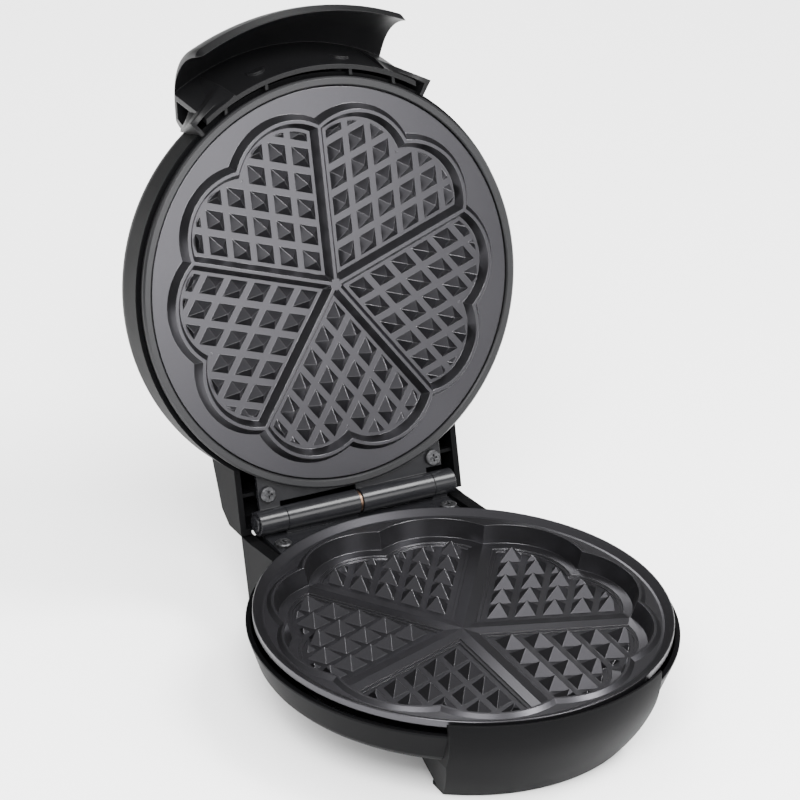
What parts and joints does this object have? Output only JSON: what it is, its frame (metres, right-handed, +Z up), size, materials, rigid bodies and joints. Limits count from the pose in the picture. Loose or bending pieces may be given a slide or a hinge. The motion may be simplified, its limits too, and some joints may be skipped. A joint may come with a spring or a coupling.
{
  "type": "waffle maker",
  "caption": "Round electric waffle iron, standing open, with heart-shaped moulds in both plates, a rear hinge, a front grip and a dial.",
  "frame": {"origin": "centre of the bounding box in plan, in the plane of the table, with the lid open", "axes": "+X to the right of the machine, +Y to its rear (the hinge), +Z up"},
  "size_m": [0.2, 0.3096, 0.2767],
  "materials": {
    "black_plastic": "fine matte texture",
    "grip_plastic": "smooth satin",
    "coated_plate": "dark non-stick coating, satin",
    "grey_ring": "satin grey",
    "black_hinge": "gloss black",
    "copper": "plain copper colour",
    "screw_steel": "blackened",
    "bright_sheet": "bright sheet",
    "heater_steel": "dull",
    "ceramic": "plain",
    "wire_sleeve": "woven glass sleeve",
    "black_rubber": "matte",
    "red_lens": "clear red",
    "green_lens": "clear green",
    "lamp_glass": "clear"
  },
  "bodies": {
    "base": {"base_casing": "black_plastic", "cord_gland": "black_rubber", "front_apron": "black_plastic", "rear_bottom_cover": "black_plastic", "front_feet": "black_rubber", "rear_feet": "black_rubber", "lower_plate": "coated_plate", "lower_heater": "heater_steel", "lower_reflector": "bright_sheet", "limiter": "ceramic", "thermal_fuse": "heater_steel", "terminal_block": "ceramic", "base_wires": "wire_sleeve", "lower_plate_screws": "screw_steel", "apron_screws": "screw_steel", "bottom_cover_screws": "screw_steel", "lower_hinge_leaf": "black_hinge", "hinge_pin": "black_hinge", "hinge_washer": "copper", "lower_leaf_screws": "screw_steel"},
    "lid": {"upper_plate": "coated_plate", "upper_heater": "heater_steel", "upper_reflector": "bright_sheet", "lid_wires": "wire_sleeve", "upper_hinge_leaf": "black_hinge", "lid_ring": "grey_ring", "lid_shell": "black_plastic", "lid_grip": "grip_plastic", "lid_thermostat": "bright_sheet", "lamp_carrier": "black_plastic", "power_lens": "red_lens", "ready_lens": "green_lens", "indicator_lamps": "lamp_glass", "upper_leaf_screws": "screw_steel", "upper_plate_screws": "screw_steel", "ring_screws": "screw_steel", "grip_screws": "screw_steel", "upper_reflector_screws": "screw_steel", "thermostat_screws": "screw_steel", "carrier_screws": "screw_steel"},
    "dial": {"temperature_dial": "grip_plastic", "dial_shaft": "bright_sheet"}
  },
  "joints": [
    {"name": "lid_hinge", "type": "hinge", "parent": "base", "child": "lid", "pos_m": [0, 0.05356, 0.0498], "axis": [1, 0, 0], "range_deg": [0, 106.8]},
    {"name": "dial_turn", "type": "hinge", "parent": "lid", "child": "dial", "pos_m": [0, 0.13873, 0.18798], "axis": [0, -0.9573, 0.289], "range_deg": [0, 270]}
  ]
}
